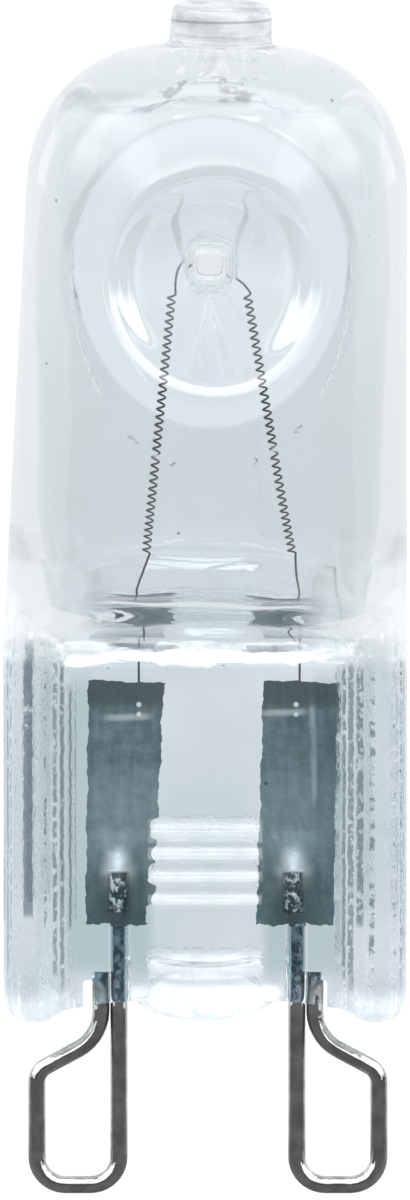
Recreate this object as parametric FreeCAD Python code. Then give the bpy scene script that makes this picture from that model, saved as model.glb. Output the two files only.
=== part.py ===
import FreeCAD, Part
import math
import os

from FreeCAD import Vector

# Halogen capsule bulb with two wire-loop contacts, in millimetres.
# Z runs up the lamp's axis, X across the two loops and Y through the thin way of the pressed seal.
# The origin is on the axis at the seat, where the wires leave the underside of the seal.
# The glass is one blown and pressed piece. It holds two seal foils, two outer wires bent to loops,
# and one filament wire whose middle is looped round a glass post.

# Glass bulb
bulb_radius = 6.90  # outside, where the bulb meets the shoulder
bulb_taper = 1.50  # degrees that each side closes in towards the dome
bulb_lean = 1.45  # degrees that the bulb leans to +X over the seal
bulb_wall = 0.90
dome_z = 33.05  # top of the dome
dome_corner_radius = 4.60
dome_wall = 1.05
ceiling_corner_radius = 1.70  # inside, where the side of the bulb turns in to the flat of the dome
tip_radius = 1.74  # sealed stub of the exhaust tube
tip_height = 1.58
tip_edge_radius = 0.62
tip_cap = 0.95  # glass over the end of the exhaust bore
exhaust_bore_radius = 0.62
exhaust_bore_end_radius = 0.40
turning_error = 0.04  # an arc of a turned profile is made in straight steps that leave it by no more than this

# Shoulder, between the round bulb and the flat seal
seal_top_z = 12.00
shoulder_height = 2.10
shoulder_foot_radius = 0.90
shoulder_brow_radius = 1.10
shoulder_overhang = 0.35  # by which the slope runs out past the bulb's side

# Bottom of the gas space
gas_floor_z = 12.90
gas_floor_radius = 5.40
gas_floor_corner = 0.90
gas_taper_height = 4.00  # height over which the gas space widens to the full bore
wedge_floor_width = 1.40
wedge_floor_round = 0.55
wedge_height = 2.20
wedge_top_round = 1.60

# Pressed seal: two rails joined by a thinner web
wire_cover = 0.825  # flat web from the outermost wire in the glass to the foot of a rail
rail_flank_width = 0.75
rail_crest_width = 0.80
rail_side_width = 0.475
rail_thickness = 5.20
rail_outer_radius = 0.95
rail_crest_radius = 0.35
rail_foot_radius = 0.30
rail_drop = 0.62  # rails below the seat
rail_end_radius = 0.80
rail_end_depth_radius = 1.10
rail_top_rise = 2.20  # rails above the top of the seal, on the sides of the bulb
rail_top_radius = 1.60
web_thickness = 2.60
notch_width = 0.42  # slot beside each cut wire end
notch_height = 0.85
notch_round = 0.12
notch_overlap = 0.23  # by which the slot runs into the bore round the wire
lobe_width = 0.88
lobe_drop = 0.27
lobe_radius = 0.24

# Press marks on both faces of the web, and the bead under it
rib_count = 4
rib_pitch = 0.80
rib_radius = 0.38
rib_length = 3.90
rib_top_z = 6.05
pill_radius = 0.42
pill_length = 4.20
pill_z = 1.39
mark_sink = 0.20  # depth of the ribs' axes under the face of the web
bead_half_width = 2.70
bead_half_depth = 1.90
bead_top_z = 1.45
bead_drop = 0.76
bead_foot_width = 1.20
bead_round = 0.55

# Post: the front and back of the bulb, drawn in to meet on the axis
post_z = 25.60
post_offset = -0.18  # from the leaning axis of the bulb
post_half = 0.62  # half the post's width at its waist
post_corner = 0.30
post_flare_start = 0.25  # from the middle of the lamp to where the post starts to widen
post_flare_angle = 32.5  # degrees between the post's axis and its flare, in the gas
diaphragm = 0.70  # glass between the two dents
dent_floor_half = 0.42
dent_floor_corner = 0.18
dent_floor_depth = 0.90  # depth of the squared end of a dent
dent_neck_radius = 0.62
dent_angle = 29.5  # degrees between a dent's axis and its wall
dent_lip_width = 0.42  # the lip of a dent is broken by this much on each side

# Outer wires
wire_diameter = 0.60
loop_pitch = 9.00  # centre to centre of the two loops
loop_width = 2.84  # between the axes of a loop's legs
loop_drop = 6.54  # from the seat to the axis at the bottom of the loop
loop_corner_radius = 0.98
loop_shoulder_drop = 2.57
loop_shoulder_angle = 28.3  # degrees above level
loop_shoulder_radius = 0.63
loop_neck_radius = 1.50
leg_gap = 0.02  # between a loop's two ends where they enter the glass
bend_error = 0.010  # a bend is made in straight steps that leave it by no more than this
outer_wire_sides = 12
wire_on_foil = 1.70  # length of an outer wire that lies on its foil
stub_end_z = 0.97
seal_shift = 0.10  # the loops sit this far to +X of the glass
capillary = 0.03  # gap round a wire in the glass

# Seal foils
foil_width = 2.66
foil_length = 8.44
foil_thickness = 0.04
foil_bottom_z = 2.64
foil_shift = 0.17  # the foils sit this far to +X of the wires' axes
foil_steps = 14
foil_ripple = 0.035

# Filament
filament_wire = 0.08
coil_diameter = 0.33  # outside
coil_turns = 34
coil_steps = 6  # straight pieces in a turn
filament_sides = 4
coil_bottom_z = 15.15
coil_top_z = 24.50
coil_bottom_x = (-2.07, 3.03)
coil_top_x = (-1.14, 1.45)
tail_x = (-2.28, 3.26)
tail_bends = (((-2.34, 13.90),), ((3.34, 13.70), (3.10, 14.40)))
tail_on_foil = 1.18  # length of a tail that lies on its foil
wrap_gap = 0.035
wrap_start = 150  # degrees round the post, from its right side
wrap_end = -15
wrap_step = 15
wrap_ends = (((-1.07, 25.40),), ((1.32, 24.85), (0.98, 25.12)))
fit_gap = 0.02  # gap round the filament's tails in the glass

# Worked out from the above
shoulder_top_z = seal_top_z + shoulder_height
web_half = web_thickness / 2
rail_half = rail_thickness / 2
wire_radius = wire_diameter / 2
wire_end_z = foil_bottom_z + wire_on_foil
tail_end_z = foil_bottom_z + foil_length - tail_on_foil
wire_y = foil_thickness / 2 + wire_radius
tail_y = foil_thickness / 2 + filament_wire / 2
inner_leg = (loop_pitch - loop_width) / 2
cut_leg = inner_leg + wire_diameter + leg_gap
rail_foot = cut_leg + wire_radius + seal_shift + wire_cover
rail_crest = rail_foot + rail_flank_width
seal_half = rail_crest + rail_crest_width + rail_side_width
notch_start = cut_leg + wire_radius + capillary - notch_overlap
lean_pivot = Vector(0, 0, seal_top_z)
margin = 2.0  # by which a cutting tool runs past what it cuts


def flat(x, z, y=0.0):
    """A point in a plane of constant y."""
    return Vector(x, y, z)


def corner_edges(corners, closed=True):
    """(start, middle, end) of each line and arc of an outline whose corners are (point, radius)."""
    count = len(corners)
    tangents = []
    for i, (point, radius) in enumerate(corners):
        inner = closed or 0 < i < count - 1
        if not radius or not inner:
            tangents.append((point, None, point))
            continue
        back = (corners[i - 1][0] - point).normalize()
        ahead = (corners[(i + 1) % count][0] - point).normalize()
        half_angle = back.getAngle(ahead) / 2
        reach = radius / math.tan(half_angle)
        to_centre = (back + ahead).normalize()
        middle = point + to_centre * (radius / math.sin(half_angle) - radius)
        tangents.append((point + back * reach, middle, point + ahead * reach))
    edges = []
    for i, (start, middle, end) in enumerate(tangents):
        if middle is not None:
            edges.append((start, middle, end))
        if closed or i < count - 1:
            following = tangents[(i + 1) % count][0]
            edges.append((end, (end + following) * 0.5, following))
    return edges


def wire_of(edges):
    """A wire through (start, middle, end) edges, which are straight where the middle is in line."""
    made = []
    for start, middle, end in edges:
        off_line = (middle - start).cross(end - start).Length
        if off_line < 1e-9:
            made.append(Part.LineSegment(start, end).toShape())
        else:
            made.append(Part.Arc(start, middle, end).toShape())
    return Part.Wire(made)


def outline(corners):
    return wire_of(corner_edges(corners))


def prism(corners, direction):
    return Part.Face(outline(corners)).extrude(direction)


def leaning(shape):
    """The shape turned with the bulb, which leans over the seal."""
    shape.rotate(lean_pivot, Vector(0, 1, 0), bulb_lean)
    return shape


def stepped(edges, error):
    """The points along (start, middle, end) edges, with each arc in equal chords that leave it by error at most."""
    points = [edges[0][0]]
    for start, middle, end in edges:
        if (middle - start).cross(end - start).Length > 1e-9:
            arc = Part.Arc(start, middle, end).toShape()
            radius = arc.Curve.Radius
            step = 2 * math.acos(1 - min(error / radius, 0.3))
            points += arc.discretize(math.ceil(arc.Length / radius / step) + 1)[1:]
        elif (end - start).Length > 1e-9:
            points.append(end)
    return points


def turned(corners):
    """A solid turned about the bulb's axis from half an outline."""
    points = stepped(corner_edges(corners), turning_error)
    return Part.Face(Part.makePolygon(points)).revolve(Vector(0, 0, 0), Vector(0, 0, 1), 360)


def seal_section(height):
    """The seal's outline at a height."""
    quarter = [
        (rail_foot, web_half, rail_foot_radius),
        (rail_crest, rail_half, rail_crest_radius),
        (seal_half, rail_half, rail_outer_radius),
    ]
    corners = []
    for sx, sy, order in ((1, 1, 1), (1, -1, -1), (-1, -1, 1), (-1, 1, -1)):
        for x, y, radius in quarter[::order]:
            corners.append((Vector(sx * x, sy * y, height), radius))
    return corners


def shoulder():
    """The lower end of the round bulb, closed in by the press on two sides down to the web."""
    low_z = seal_top_z - margin
    body = Part.makeCylinder(bulb_radius, shoulder_top_z - low_z, Vector(0, 0, low_z))
    reach = bulb_radius + shoulder_overhang
    side = []
    for hand in (1, -1):
        half = [
            (Vector(-reach, hand * web_half, low_z), 0),
            (Vector(-reach, hand * web_half, seal_top_z), shoulder_foot_radius),
            (Vector(-reach, hand * reach, shoulder_top_z), shoulder_brow_radius),
            (Vector(-reach, hand * reach, shoulder_top_z + margin), 0),
        ]
        side += half[::hand]
    return body.common(prism(side, Vector(2 * reach, 0, 0)))


def seal():
    """The two rails and the web, with the ends that the press left, standing on the seat."""
    bottom = -rail_drop - margin
    top = seal_top_z + rail_top_rise
    body = prism(seal_section(bottom), Vector(0, 0, top - bottom))

    notch_end = notch_start + notch_width
    lobe_end = notch_end + lobe_width
    half = [
        (notch_start, 0, 0),
        (notch_start, notch_height, notch_round),
        (notch_end, notch_height, notch_round),
        (notch_end, -lobe_drop, lobe_radius),
        (lobe_end, -lobe_drop, lobe_radius),
        (lobe_end + lobe_radius, -rail_drop, lobe_radius),
        (seal_half, -rail_drop, rail_end_radius),
        (seal_half, top, rail_top_radius),
        (rail_foot - rail_flank_width, top, 0),
        (rail_foot - rail_flank_width, seal_top_z, 0),
    ]
    front = [(flat(x, z, -seal_half), r) for x, z, r in half]
    front += [(flat(-x, z, -seal_half), r) for x, z, r in reversed(half)]
    body = body.common(prism(front, Vector(0, 2 * seal_half, 0)))

    side = [
        (Vector(-seal_half, -rail_half, -rail_drop), rail_end_depth_radius),
        (Vector(-seal_half, rail_half, -rail_drop), rail_end_depth_radius),
        (Vector(-seal_half, rail_half, top + margin), 0),
        (Vector(-seal_half, -rail_half, top + margin), 0),
    ]
    return body.common(prism(side, Vector(2 * seal_half, 0, 0)))


def bar(length, radius, y, z):
    """A half-sunk round bar along X whose ends are round as seen from the front."""
    half = length / 2
    rod = Part.makeCylinder(radius, length, Vector(-half, y, z), Vector(1, 0, 0))
    plan = [flat(sx * half, z + sz * radius, y - radius) for sx, sz in ((1, 1), (-1, 1), (-1, -1), (1, -1))]
    return rod.common(prism([(point, radius * 0.99) for point in plan], Vector(0, 2 * radius, 0)))


def press_marks():
    """Ribs across both faces of the web, and the bar over the bead."""
    marks = []
    for side in (-1, 1):
        y = side * (web_half - mark_sink)
        for i in range(rib_count):
            marks.append(bar(rib_length, rib_radius, y, rib_top_z - i * rib_pitch))
        marks.append(bar(pill_length, pill_radius, y, pill_z))
    return marks


def bead():
    """The drop of glass under the middle of the web: an arc from the front, swollen from the side, round in plan."""
    low, side = Vector(0, 0, -bead_drop), Vector(bead_half_width, 0, 0)
    top = Vector(0, 0, bead_top_z)
    front = Part.Wire(
        [
            Part.Arc(side * -1, low, side).toShape(),
            Part.makePolygon([side, side + top, top - side, side * -1]),
        ]
    )
    depth = Vector(0, bead_half_depth, 0)
    solid = Part.Face(front).extrude(depth * 2)
    solid.translate(depth * -1)
    swell_z = bead_top_z - (bead_half_depth - web_half)
    profile = []
    for hand in (1, -1):
        half = [
            (Vector(-bead_half_width, hand * web_half, bead_top_z), 0),
            (Vector(-bead_half_width, hand * bead_half_depth, swell_z), bead_round),
            (Vector(-bead_half_width, hand * bead_half_depth, 0), bead_round),
            (Vector(-bead_half_width, hand * bead_foot_width / 2, -bead_drop), bead_round),
        ]
        profile += half[::hand]
    solid = solid.common(prism(profile, side * 2))
    corners = ((1, 1), (-1, 1), (-1, -1), (1, -1))
    plan = [(Vector(sx * bead_half_width, sy * bead_half_depth, -bead_drop), 1.5 * bead_round) for sx, sy in corners]
    return solid.common(prism(plan, top - low))


def bulb_side(radius, height):
    """The radius at a height of a wall that closes in with the bulb's taper from the shoulder."""
    return radius - (height - shoulder_top_z) * math.tan(math.radians(bulb_taper))


def bulb():
    """The outside of the round bulb, its dome and the sealed tip."""
    tip_z = dome_z + tip_height
    return turned(
        [
            (flat(0, shoulder_top_z), 0),
            (flat(bulb_radius, shoulder_top_z), 0),
            (flat(bulb_side(bulb_radius, dome_z), dome_z), dome_corner_radius),
            (flat(tip_radius, dome_z), 0),
            (flat(tip_radius, tip_z), tip_edge_radius),
            (flat(0, tip_z), 0),
        ]
    )


def dented_side():
    """The bulb's side carried on up past the dome, with the dents pushed in and their lips broken."""
    low_z, high_z = seal_top_z, dome_z + tip_height + margin
    low_radius, high_radius = (bulb_side(bulb_radius, z) for z in (low_z, high_z))
    side = Part.makeCone(low_radius, high_radius, high_z - low_z, Vector(0, 0, low_z)).cut(dents())
    return side.makeChamfer(dent_lip_width, mouth_edges(side))


def rounded_square(half, corner, y):
    """A square outline with rounded corners, across the post's axis."""
    corners = [(flat(sx * half, sz * half, y), corner) for sx, sz in ((1, 1), (-1, 1), (-1, -1), (1, -1))]
    return outline(corners)


def at_post(shape):
    shape.translate(Vector(post_offset, 0, post_z))
    return shape


def funnel(side, start, radius, angle):
    """A cone that opens from near the middle of the lamp to beyond the bulb."""
    height = bulb_radius + margin - start
    wide = radius + height * math.tan(math.radians(angle))
    return Part.makeCone(radius, wide, height, Vector(0, side * start, 0), Vector(0, side, 0))


def dents():
    """What the two forming pins pushed out of the glass, front and back, with squared ends."""
    made = []
    for side in (-1, 1):
        floor = side * diaphragm / 2
        neck = floor + side * dent_floor_depth
        end = Part.makeLoft(
            [
                rounded_square(dent_floor_half, dent_floor_corner, floor),
                rounded_square(dent_neck_radius, dent_neck_radius * 0.9, neck),
            ],
            True,
            True,
        )
        start = diaphragm / 2 + dent_floor_depth / 2
        narrow = dent_neck_radius - dent_floor_depth / 2 * math.tan(math.radians(dent_angle))
        made.append(at_post(end.fuse(funnel(side, start, narrow, dent_angle))))
    return made


def post_skin():
    """The glass round the dents as the gas space sees it: a square post that flares to the front and back."""
    bar_half = post_flare_start + 1.5 * post_half
    start = rounded_square(post_half, post_corner, -bar_half)
    solid = Part.Face(start).extrude(Vector(0, 2 * bar_half, 0))
    flares = [funnel(side, post_flare_start, post_half * 0.8, post_flare_angle) for side in (-1, 1)]
    return at_post(solid.fuse(flares))


def gas_space():
    """The inside of the bulb: a bore that narrows to a wedge over the seal, with the post left standing."""
    bore_low = bulb_radius - bulb_wall
    widest_z = gas_floor_z + gas_taper_height
    ceiling_z = dome_z - dome_wall
    bore_top_z = dome_z + tip_height - tip_cap
    bore = turned(
        [
            (flat(0, gas_floor_z), 0),
            (flat(gas_floor_radius, gas_floor_z), gas_floor_corner),
            (flat(bulb_side(bore_low, widest_z), widest_z), 0),
            (flat(bulb_side(bore_low, ceiling_z), ceiling_z), ceiling_corner_radius),
            (flat(exhaust_bore_radius, ceiling_z), 0),
            (flat(exhaust_bore_radius, bore_top_z), exhaust_bore_end_radius),
            (flat(0, bore_top_z), 0),
        ]
    )
    half_floor = wedge_floor_width / 2
    wedge_z = gas_floor_z + wedge_height
    reach = bulb_radius + margin
    top_z = dome_z + tip_height
    wide = bulb_radius - bulb_wall + 0.2
    side = [
        (Vector(-reach, -half_floor, gas_floor_z), wedge_floor_round),
        (Vector(-reach, half_floor, gas_floor_z), wedge_floor_round),
        (Vector(-reach, wide, wedge_z), wedge_top_round),
        (Vector(-reach, wide, top_z), 0),
        (Vector(-reach, -wide, top_z), 0),
        (Vector(-reach, -wide, wedge_z), wedge_top_round),
    ]
    wedge = prism(side, Vector(2 * reach, 0, 0))
    return leaning(bore.common(wedge).cut(post_skin()))


def lead_corners(side):
    """The route of an outer wire, from its end on the foil, down and round its loop, to the cut end."""
    inner = side * inner_leg
    outer = side * (inner_leg + loop_width)
    stub = side * cut_leg
    rise = abs(outer - stub) * math.tan(math.radians(loop_shoulder_angle))
    route = [
        (inner, wire_end_z, 0),
        (inner, -loop_drop, loop_corner_radius),
        (outer, -loop_drop, loop_corner_radius),
        (outer, -loop_shoulder_drop, loop_shoulder_radius),
        (stub, -loop_shoulder_drop + rise, loop_neck_radius),
        (stub, stub_end_z, 0),
    ]
    return [(flat(x + seal_shift, z, wire_y), radius) for x, z, radius in route]


def lead(side):
    route = stepped(corner_edges(lead_corners(side), closed=False), bend_error)
    return bent_wire(route, wire_diameter, outer_wire_sides)


def lead_channels(side):
    """The bores that the seal's glass leaves round the two ends of an outer wire."""
    corners = lead_corners(side)
    bores = []
    for top in (corners[0][0], corners[-1][0]):
        foot = Vector(top.x, top.y, -rail_drop - margin)
        bores.append(Part.makeCylinder(wire_radius + capillary, top.z + capillary - foot.z, foot))
    return bores


def foil_centre(side):
    return side * inner_leg + seal_shift + foil_shift


def foil(side):
    """A thin foil whose long edges ripple where the soft glass closed on them."""
    centre = foil_centre(side)
    half = foil_width / 2
    step = foil_length / foil_steps

    def edge(hand, i):
        ripple = math.sin(2.3 * i + hand) + 0.6 * math.sin(5.1 * i + 2 * side)
        x = hand * (half - foil_ripple * (1 + ripple) / 2)
        return flat(centre + x, foil_bottom_z + i * step, -foil_thickness / 2)

    right = [edge(1, i) for i in range(foil_steps + 1)]
    left = [edge(-1, i) for i in range(foil_steps, -1, -1)]
    return Part.Face(Part.makePolygon(right + left + right[:1])).extrude(Vector(0, foil_thickness, 0))


def superellipse(half, angle):
    """A point on a rounded square of the given half width."""
    c, s = math.cos(angle), math.sin(angle)
    reach = half / (c**4 + s**4) ** 0.25
    return reach * c, reach * s


def filament_route():
    """The axis of the whole filament wire, from the left tail over the post to the right tail."""
    left_coil = coil(0)
    right_coil = coil(1)
    post = leaning(Part.Vertex(flat(post_offset, post_z))).Point
    half = post_half + wrap_gap + filament_wire / 2
    wrap = []
    for angle in range(wrap_start, wrap_end - 1, -wrap_step):
        x, z = superellipse(half, math.radians(angle))
        wrap.append(flat(post.x + x, post.z + z, tail_y))
    ends = []
    for x, bends in zip(tail_x, tail_bends):
        tail = [(x, tail_end_z), (x, gas_floor_z + fit_gap)] + list(bends)
        ends.append([flat(px, pz, tail_y) for px, pz in tail])
    spans = [[flat(px, pz, tail_y) for px, pz in points] for points in wrap_ends]
    left = ends[0] + left_coil + spans[0]
    right = ends[1] + right_coil + spans[1]
    return left + wrap + right[::-1]


def coil(side):
    """The axis of one coiled leg, from its foot up."""
    foot = flat(coil_bottom_x[side], coil_bottom_z, tail_y)
    head = flat(coil_top_x[side], coil_top_z, tail_y)
    along = (head - foot).normalize()
    across = along.cross(Vector(0, 1, 0))
    deep = Vector(0, 1, 0)
    radius = (coil_diameter - filament_wire) / 2
    count = coil_turns * coil_steps
    points = []
    for i in range(count + 1):
        angle = 2 * math.pi * i / coil_steps
        centre = foot + (head - foot) * (i / count)
        points.append(centre + across * (radius * math.cos(angle)) + deep * (radius * math.sin(angle)))
    return points


def bent_wire(points, diameter, sides):
    """A many-sided wire along straight runs, mitred where they meet."""
    runs = [(b - a).normalize() for a, b in zip(points, points[1:])]
    across = runs[0].cross(Vector(0, 1, 0)).normalize()
    deep = runs[0].cross(across)
    ring = []
    for k in range(sides):
        angle = 2 * math.pi * k / sides
        ring.append(points[0] + (across * math.cos(angle) + deep * math.sin(angle)) * (diameter / 2))
    rings = [ring]
    for i, run in enumerate(runs):
        following = runs[i + 1] if i + 1 < len(runs) else run
        mitre = (run + following).normalize()
        joint = points[i + 1]
        ring = [p + run * ((joint - p).dot(mitre) / run.dot(mitre)) for p in ring]
        rings.append(ring)
    faces = [Part.Face(Part.makePolygon(rings[0] + rings[0][:1]))]
    for lower, upper in zip(rings, rings[1:]):
        for k in range(sides):
            n = (k + 1) % sides
            faces.append(Part.Face(Part.makePolygon([lower[k], lower[n], upper[n], upper[k], lower[k]])))
    faces.append(Part.Face(Part.makePolygon(rings[-1] + rings[-1][:1])))
    shell = Part.makeCompound(faces)
    shell.sewShape()
    solid = Part.Solid(shell.Shells[0])
    if solid.Volume < 0:
        solid.reverse()
    return solid


def filament():
    return bent_wire(filament_route(), filament_wire, filament_sides)


def tail_channels():
    """The fine bores round the filament's tails, from the gas space down to their welds on the foils."""
    radius = filament_wire / 2 + fit_gap
    bores = []
    for x in tail_x:
        foot = flat(x, tail_end_z - fit_gap, tail_y)
        bores.append(Part.makeCylinder(radius, gas_floor_z + gas_floor_corner - foot.z, foot))
    return bores


def mouth_edges(shape):
    """The edges where the dents break through the outside of the bulb."""
    found = []
    slope = math.tan(math.radians(dent_angle))
    start = diaphragm / 2 + dent_floor_depth
    for edge in shape.Edges:
        off = []
        for p in edge.discretize(7):
            wall = dent_neck_radius + (abs(p.y) - start) * slope
            off.append(abs(math.hypot(p.x - post_offset, p.z - post_z) - wall))
        if max(off) < 0.02 and edge.BoundBox.YLength > 0.05 and abs(edge.CenterOfMass.y) > bulb_radius / 2:
            found.append(edge)
    return found


def envelope():
    outside = leaning(bulb().common(dented_side()))
    glass = outside.fuse([leaning(shoulder()), seal(), bead()] + press_marks()).removeSplitter()
    voids = [gas_space()] + tail_channels()
    for side in (-1, 1):
        voids += lead_channels(side)
        voids.append(foil(side))
    return glass.cut(voids)


def main():
    os.makedirs("parts", exist_ok=True)
    nodes = {
        "quartz_envelope": envelope(),
        "filament": filament(),
        "seal_foil_left": foil(-1),
        "seal_foil_right": foil(1),
        "contact_loop_left": lead(-1),
        "contact_loop_right": lead(1),
    }
    for name, shape in nodes.items():
        solids = shape.Solids
        print(name, "solids", len(solids), "valid", shape.isValid(), "volume", round(shape.Volume, 4))
        solid = solids[0] if len(solids) == 1 else Part.makeCompound(solids)
        solid.exportStep(f"parts/{name}.step")


main()
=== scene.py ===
"""A clear halogen capsule bulb: the look of the glass, filament, foils and contact wires over the CAD frame.

Pieces are modelled in millimetres on the CAD's axes and brought to metres when they are done. The front is -Y.
"""

import math

import bmesh
import bpy
from mathutils import Matrix, Vector


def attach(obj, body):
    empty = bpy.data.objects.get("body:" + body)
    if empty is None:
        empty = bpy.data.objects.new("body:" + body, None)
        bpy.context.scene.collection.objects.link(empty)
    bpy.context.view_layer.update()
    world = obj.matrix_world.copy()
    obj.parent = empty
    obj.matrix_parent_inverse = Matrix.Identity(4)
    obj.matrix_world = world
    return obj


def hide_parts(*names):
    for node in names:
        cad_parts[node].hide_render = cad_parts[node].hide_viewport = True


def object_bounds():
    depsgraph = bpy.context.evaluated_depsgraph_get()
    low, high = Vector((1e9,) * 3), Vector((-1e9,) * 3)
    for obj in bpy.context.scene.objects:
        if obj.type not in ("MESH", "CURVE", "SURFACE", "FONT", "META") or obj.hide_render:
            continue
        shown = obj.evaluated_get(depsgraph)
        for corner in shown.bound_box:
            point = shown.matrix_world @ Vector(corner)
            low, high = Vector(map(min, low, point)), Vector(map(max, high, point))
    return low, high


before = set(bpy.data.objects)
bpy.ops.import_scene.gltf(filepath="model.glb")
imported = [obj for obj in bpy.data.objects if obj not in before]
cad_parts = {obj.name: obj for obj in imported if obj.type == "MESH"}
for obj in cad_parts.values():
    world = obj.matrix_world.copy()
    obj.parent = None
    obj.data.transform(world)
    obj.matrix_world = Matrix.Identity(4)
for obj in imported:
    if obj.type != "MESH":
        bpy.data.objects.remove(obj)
cad_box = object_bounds()
MM = 0.001

# Driving sizes, in millimetres. The two contacts stand either side of a middle line a little beside the bulb's axis.
CONTACTS_X = 0.1
INNER_LEG, CUT_END, OUTER_LEG = 3.08, 3.70, 5.92
WIRE_RADIUS, WIRE_Y = 0.30, 0.32

# ---------------------------------------------------------------- workbench


def put_down():
    """Leaves edit mode and lets go of everything."""
    if bpy.context.object and bpy.context.object.mode != "OBJECT":
        bpy.ops.object.mode_set(mode="OBJECT")
    bpy.ops.object.select_all(action="DESELECT")


def take(piece):
    """Makes a piece the only one in hand."""
    put_down()
    piece.select_set(True)
    bpy.context.view_layer.objects.active = piece


def start_piece(name):
    """Names the primitive that was just added and opens it for modelling."""
    piece = bpy.context.object
    piece.name = name
    piece.data.name = name
    bpy.ops.object.mode_set(mode="EDIT")
    return piece


def open_mesh():
    return bmesh.from_edit_mesh(bpy.context.object.data)


def close_mesh():
    bmesh.update_edit_mesh(bpy.context.object.data)


def pick(kind, wanted):
    """Selects the corners, edges or faces for which the test holds, and nothing else."""
    bpy.ops.mesh.select_all(action="DESELECT")
    bpy.ops.mesh.select_mode(type=kind)
    mesh = open_mesh()
    for part in {"VERT": mesh.verts, "EDGE": mesh.edges, "FACE": mesh.faces}[kind]:
        part.select = bool(wanted(part))
    mesh.select_flush_mode()
    close_mesh()


def seat(old, new):
    """Moves the selected corners that stand at the old points to the new ones."""
    mesh = open_mesh()
    chosen = [corner for corner in mesh.verts if corner.select]
    found = [min(chosen, key=lambda corner, p=p: (corner.co - p).length_squared) for p in old]
    for corner, place in zip(found, new):
        corner.co = place
    close_mesh()


def draw_on(old, rings):
    """Draws the selected edge loop on through the rings, one extrusion each."""
    for ring in rings:
        bpy.ops.mesh.extrude_region_move()
        seat(old, ring)
        old = ring
    return old


def with_modifier(piece, kind, **settings):
    """Adds a modifier to a piece and applies it."""
    take(piece)
    modifier = piece.modifiers.new(kind.title(), kind)
    for key, value in settings.items():
        setattr(modifier, key, value)
    bpy.ops.object.modifier_apply(modifier=modifier.name)


def merge(name, *pieces):
    """Joins pieces into one object."""
    take(pieces[0])
    for piece in pieces[1:]:
        piece.select_set(True)
    bpy.ops.object.join()
    pieces[0].name = name
    pieces[0].data.name = name
    return pieces[0]


def face_outwards(piece):
    """Turns all of a closed piece's faces outwards."""
    take(piece)
    bpy.ops.object.mode_set(mode="EDIT")
    bpy.ops.mesh.select_all(action="SELECT")
    bpy.ops.mesh.normals_make_consistent(inside=False)
    bpy.ops.object.mode_set(mode="OBJECT")


def hand_in(piece, slot, *nodes, angle=40):
    """Brings a finished piece to metres, smooths it and seats it in the frame."""
    take(piece)
    piece.scale = (MM, MM, MM)
    bpy.ops.object.transform_apply(location=True, rotation=True, scale=True)
    bpy.ops.object.shade_smooth_by_angle(angle=math.radians(angle))
    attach(piece, "root")
    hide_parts(*nodes)
    put_down()


# ---------------------------------------------------------------- glass: the outside

QUARTER = 10
COLUMNS = 4 * QUARTER
TURN = 2 * math.pi / COLUMNS
# The bulb leans a little to the right over the seal. The post is where the dents meet, before the lean.
LEAN = math.radians(1.45)
SEAL_TOP = 12.0
POST = Vector((-0.18, 0.0, 25.6))
# The dents' mouths: their radius outside and in the gas space, and how far right of the post they lie
OUTER_MOUTH, INNER_MOUTH, MOUTH_SHIFT = 4.10, 4.40, 0.25

# The bulb in profile: its radius above the shoulder, the taper on a millimetre, and the arc that rounds it in
BULB_FOOT, BULB_RADIUS, TAPER = 15.0, 6.93, 0.0262
DOME_RADIUS, DOME_X, DOME_Z = 4.64, 1.94, 28.45

# One quarter of the pressed seal's section, from the middle of the web to the side of the rail
SEAL = (
    (0.0, 1.30), (1.6, 1.30), (3.2, 1.30), (4.5, 1.30), (4.95, 1.33), (5.30, 1.98),
    (5.66, 2.60), (6.12, 2.64), (6.72, 2.38), (6.97, 1.50), (6.97, 0.0),
)
SEAL_END = (0.0, 0.0, 0.0, -0.27, -0.32, -0.58, -0.62, -0.62, -0.50, -0.18, -0.10)
# The shoulder's rings: height, and half the thickness to which the press brought the middle
SHOULDER = ((12.10, 1.40), (12.38, 1.90), (12.75, 3.10), (13.15, 4.60), (13.60, 5.90), (14.15, 6.75))


def quarter_of(k):
    """A column's place in its quarter of the section, and the signs that mirror the quarter to it."""
    k %= COLUMNS
    if k <= QUARTER:
        return k, 1, -1
    if k <= 2 * QUARTER:
        return 2 * QUARTER - k, 1, 1
    if k <= 3 * QUARTER:
        return k - 2 * QUARTER, -1, 1
    return COLUMNS - k, -1, -1


def ease(t):
    """A smooth step from 0 to 1."""
    t = min(max(t, 0.0), 1.0)
    return t * t * (3 - 2 * t)


def bulb_radius(z):
    """The outside of the round bulb: tapered, then rounded in to the dome."""
    if z < DOME_Z:
        return BULB_RADIUS - (max(z, BULB_FOOT) - BULB_FOOT) * TAPER
    return DOME_X + math.sqrt(max(DOME_RADIUS**2 - (z - DOME_Z) ** 2, 0.0))


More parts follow.
